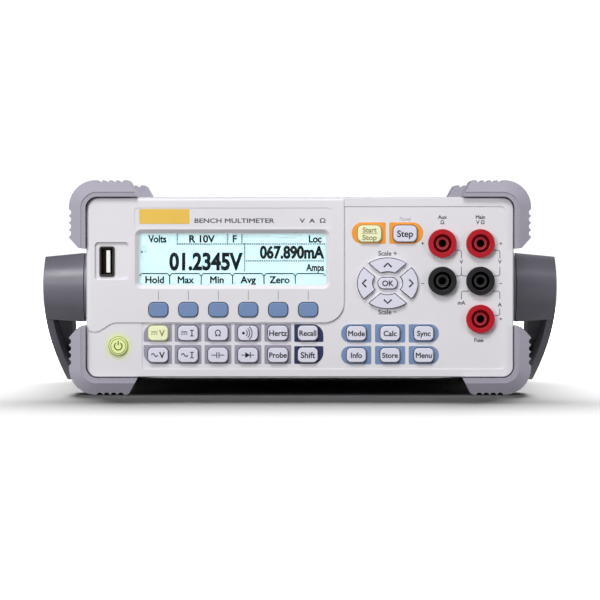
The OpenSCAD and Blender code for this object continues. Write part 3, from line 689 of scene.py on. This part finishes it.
def build_print():
    """Badge, heading, socket brackets and the small marks on the panel."""
    marks = []
    joined("badge", [flat_plate([rounded(*BADGE, 0.5)], STRIP_Y - 0.12, 0.2, 0.04)],
           "badge", ROOT, "bezel_plastic")
    marks.append(lettering("BENCH MULTIMETER", 2.2, -33.0, HEADING_Z, STRIP_Y, width=40.0))
    marks.append(lettering("V  A  Ω", 2.1, 6.4, HEADING_Z, STRIP_Y, width=13.0))
    for i in range(1, 7):
        c = centre(f"softkey_{i}")
        low = box(f"softkey_{i}")[1].z + 0.4
        marks.append(ribbon([(c.x, low), (c.x, window_low.z - 0.3)], 0.22, DISPLAY_Y, 0.03))
    joined("heading_print", marks, "ink", ROOT, "bezel_plastic")

    marks = []
    mid = centre("key_auto")
    marks.append(lettering("Scale +", 2.3, mid.x, mid.z + 15.0, PANEL_Y))
    marks.append(lettering("Scale −", 2.3, mid.x, mid.z - 14.4, PANEL_Y))
    red_low, red_high = box("red_jacks")
    x1, x2 = red_low.x + SOCKET_RIM, red_high.x - SOCKET_RIM
    z1, z3 = red_high.z - SOCKET_RIM, red_low.z + SOCKET_RIM
    z2 = centre("black_jacks").z
    line_x = [(x1 + x2) / 2, x2 + 9.75]
    r = 1.2

    def bracket(x, top_from, top_z, low_from, low_z, gap):
        """Two rounded strokes that join a pair of sockets, with a gap for their label."""
        upper = [(top_from, top_z)] + arc(x - r, top_z - r, r, 90, 0, 6) + [(x, gap[1])]
        lower = [(x, gap[0])] + arc(x - r, low_z + r, r, 0, -90, 6) + [(low_from, low_z)]
        marks.append(ribbon(upper, BRACKET_LINE, PANEL_Y))
        marks.append(ribbon(lower, BRACKET_LINE, PANEL_Y))

    for x, socket in zip(line_x, (x1, x2)):
        bracket(x, socket + 6.2, z1 - 3.4, socket + 6.6, z2 + 2.5, (z2 + 7.0, z1 - 7.6))
    bracket(line_x[1], x2 + 5.8, z2 - 5.1, x2 + 7.2, z3 + 1.7, (z3 + 5.2, z2 - 9.0))
    marks.append(ribbon([(line_x[0], z2 + 3.5)] + arc(line_x[0] + r, z2 + 2.5 + r, r, 180, 270, 6)
                        + [(x2 - 6.6, z2 + 2.5)], BRACKET_LINE, PANEL_Y))
    marks.append(ribbon([(x2 - 5.6, z2 - 5.1)] + arc(line_x[0] + r, z2 - 5.1 - r, r, 90, 180, 6)
                        + [(line_x[0], z2 - 9.2)], BRACKET_LINE, PANEL_Y))
    for text, x, z in (
        ("+", x1 - 9.9, z1), ("−", x1 - 9.9, z2 - 1.3), ("+", x2 + 10.2, z1),
        ("−", x2 + 10.2, z2 - 1.3), ("+", x2 + 10.2, z3), ("Ω", x1, z1 + 10.6),
        ("V Ω", x2, z1 + 10.6),
        ("V", line_x[0], z2 + 9.6), ("V", line_x[1], z2 + 9.6), ("mA", line_x[0], z2 - 10.9),
        ("A", line_x[1], z3 + 7.2), ("Aux", x1, z1 + 13.2), ("Main", x2, z1 + 13.2),
        ("Fuse", x2 - 0.8, z3 - 10.6),
    ):
        marks.append(lettering(text, 1.8, x, z, PANEL_Y, bold=0.08))
    joined("panel_print", marks, "ink", ROOT, "bezel_plastic")
    single = centre("key_single")
    faint = lettering("Panel", 1.9, single.x, single.z + 7.4, PANEL_Y)
    joined("faint_print", [faint], "faint_ink", ROOT, "bezel_plastic")


build_print()


def build_socket_tips():
    """The end of the tube in each socket: a rim in a lighter copy of the insulator's colour, a painted
    highlight, round a face of the insulator's colour (in the red sockets a slightly darker red with a
    painted glow).
    """
    for node, rim_highlight, face_colour in (
        ("red_jacks", "pink_highlight", "deep_red"), ("black_jacks", "black_highlight", "black")
    ):
        low, high = box(node)
        top = high.z - SOCKET_RIM
        places = [(low.x + SOCKET_RIM, top), (high.x - SOCKET_RIM, top)]
        if node == "red_jacks":
            places.append((high.x - SOCKET_RIM, low.z + SOCKET_RIM))
        # The tips are painted highlights; the red faces carry painted glow.
        for part, outer, inner, depth, colour in (
            ("tips", 3.1, 2.8, SLEEVE_DEPTH, rim_highlight),
            ("faces", 2.78, 1.95, SLEEVE_DEPTH + 0.1, face_colour),
        ):
            rings = [flat_plate(ring(x, z, outer, inner, 35), low.y + depth, 0.4, 0.08) for x, z in places]
            joined(f"{node}_{part}", rings, colour, ROOT, frame_slot(node))


build_socket_tips()


def halo_paint():
    """The panel round the power key, tinted by its light and fading into the panel's own colour."""
    made = surface("halo", BEZEL_RGB, 0.46, 0.012, 3000, 0.02)
    tree = made.node_tree
    shader = tree.nodes["Principled BSDF"]
    plain = shader.inputs["Base Color"].links[0].from_socket
    c = centre("key_power")
    coords = node_of(tree, "ShaderNodeTexCoord")
    far = node_of(tree, "ShaderNodeVectorMath", operation="DISTANCE")
    far.inputs[1].default_value = (c.x * MM, PANEL_Y * MM, c.z * MM)
    tree.links.new(coords.outputs["Object"], far.inputs[0])
    tint = node_of(tree, "ShaderNodeMix", data_type="RGBA")
    tint.inputs["B"].default_value = linear((214, 226, 140))
    tree.links.new(plain, tint.inputs["A"])
    fade = ranged(tree, far.outputs["Value"], 0.75, 0.0, 4.5 * MM, HALO_R * MM)
    tree.links.new(fade, tint.inputs["Factor"])
    tree.links.new(tint.outputs["Result"], shader.inputs["Base Color"])
    return made


def build_halo():
    c = centre("key_power")
    plate = flat_plate(ring(c.x, c.z, HALO_R, 4.9), FRAME_Y - 0.04, 0.06)
    joined("power_halo", [plate], "halo", ROOT, "bezel_plastic")


PAINT["halo"] = halo_paint()
build_halo()

# ---------------------------------------------------------------- stage

STAGE_REACH = 7.0
STAGE_SEEN, STAGE_BOUNCE = 0.4, 0.18
SKY_SEEN, SKY_FILL = 1.1, 0.17
GLOW_START, GLOW_END = 0.30, 0.75
LAMP_AWAY = 2.1
LAMP_RISE = math.radians(39)
CAMERA_AWAY = 2.0
CAMERA_Z, AIM_Z = 0.081, 0.0475


def stage_surface():
    """Pale floor. Away from the object it glows for the camera alone, so it stays white to the horizon."""
    made = bpy.data.materials.new("stage")
    made.use_nodes = True
    tree = made.node_tree
    shader = tree.nodes["Principled BSDF"]
    shader.inputs["Roughness"].default_value = 0.9
    shader.inputs["Specular IOR Level"].default_value = 0.0
    shader.inputs["Emission Color"].default_value = (1, 1, 1, 1)
    coords = node_of(tree, "ShaderNodeTexCoord")
    far = node_of(tree, "ShaderNodeVectorMath", operation="LENGTH")
    tree.links.new(coords.outputs["Object"], far.inputs[0])
    seen = node_of(tree, "ShaderNodeLightPath")
    shade = ranged(tree, seen.outputs["Is Camera Ray"], STAGE_BOUNCE, STAGE_SEEN, 0.0, 1.0)
    tree.links.new(shade, shader.inputs["Base Color"])
    glow = node_of(tree, "ShaderNodeMath", operation="MULTIPLY")
    tree.links.new(ranged(tree, far.outputs["Value"], 0.0, 1.0, GLOW_START, GLOW_END), glow.inputs[0])
    tree.links.new(seen.outputs["Is Camera Ray"], glow.inputs[1])
    tree.links.new(glow.outputs["Value"], shader.inputs["Emission Strength"])
    return made


def build_stage():
    """A round pale floor, a hair below the object."""
    mesh = bpy.data.meshes.new("stage")
    bm = bmesh.new()
    bmesh.ops.create_circle(bm, cap_ends=True, segments=64, radius=STAGE_REACH)
    bm.to_mesh(mesh)
    bm.free()
    stage = link("stage", mesh)
    stage.location.z = -0.0002
    stage.data.materials.append(stage_surface())
    stage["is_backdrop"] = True
    return stage


def area_light(name, place, target, size, power, receivers, blockers=None):
    """A lamp that lights its receivers, and is shaded by its blockers or, if none are given, by all."""
    light = bpy.data.lights.new(name, "AREA")
    light.shape = "RECTANGLE"
    light.size, light.size_y = size
    light.energy = power
    obj = bpy.data.objects.new(name, light)
    bpy.context.scene.collection.objects.link(obj)
    obj.location = place
    obj.rotation_mode = "QUATERNION"
    obj.rotation_quaternion = (Vector(target) - Vector(place)).to_track_quat("-Z", "Y")
    obj.light_linking.receiver_collection = receivers
    obj.light_linking.blocker_collection = blockers


def build_camera():
    """A long lens in front of the panel, a little above its middle."""
    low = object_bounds()[0]
    camera = bpy.data.cameras.new("camera")
    camera.sensor_width = 36
    camera.lens = 240
    camera.clip_start, camera.clip_end = 0.05, 50
    obj = bpy.data.objects.new("camera", camera)
    bpy.context.scene.collection.objects.link(obj)
    obj.location = (0, low.y - CAMERA_AWAY, CAMERA_Z)
    obj.rotation_mode = "QUATERNION"
    aim = Vector((0, low.y, AIM_Z))
    obj.rotation_quaternion = (aim - obj.location).to_track_quat("-Z", "Y")
    bpy.context.scene.camera = obj


def build_lights(stage):
    """Soft studio light: lamps for the object, and one behind it for the floor and its shadow."""
    world = bpy.data.worlds.new("studio")
    world.use_nodes = True
    tree = world.node_tree
    sky = tree.nodes["Background"]
    sky.inputs["Color"].default_value = (1, 1, 1, 1)
    seen = node_of(tree, "ShaderNodeLightPath")
    strength = ranged(tree, seen.outputs["Is Camera Ray"], SKY_FILL, SKY_SEEN, 0.0, 1.0)
    tree.links.new(strength, sky.inputs["Strength"])
    bpy.context.scene.world = world
    floor_only = bpy.data.collections.new("floor_only")
    floor_only.objects.link(stage)
    not_floor = bpy.data.collections.new("not_floor")
    not_floor.objects.link(stage)
    not_floor.collection_objects[0].light_linking.link_state = "EXCLUDE"
    middle = (0, 0, 0.05)
    area_light("key", (-1.5, -2.2, 0.8), middle, (0.9, 0.7), 31, not_floor)
    area_light("above", (-0.3, -1.4, 1.7), middle, (1.0, 0.7), 28, not_floor)
    area_light("fill", (1.9, -1.6, 0.5), middle, (0.8, 0.6), 8, not_floor)
    area_light("rear", (1.2, 2.2, 1.2), middle, (1.0, 0.7), 24, not_floor)
    not_handle = bpy.data.collections.new("not_handle")
    for node in ("handle", "handle_pivots"):
        not_handle.objects.link(NODES[node])
    for entry in not_handle.collection_objects:
        entry.light_linking.link_state = "EXCLUDE"
    place = (0, LAMP_AWAY * math.cos(LAMP_RISE), LAMP_AWAY * math.sin(LAMP_RISE))
    area_light("floor", place, (0, -0.1, 0), (1.1, 1.15), 215, floor_only, not_handle)
    bpy.context.scene.view_settings.view_transform = "Standard"


stage = build_stage()
build_camera()
build_lights(stage)
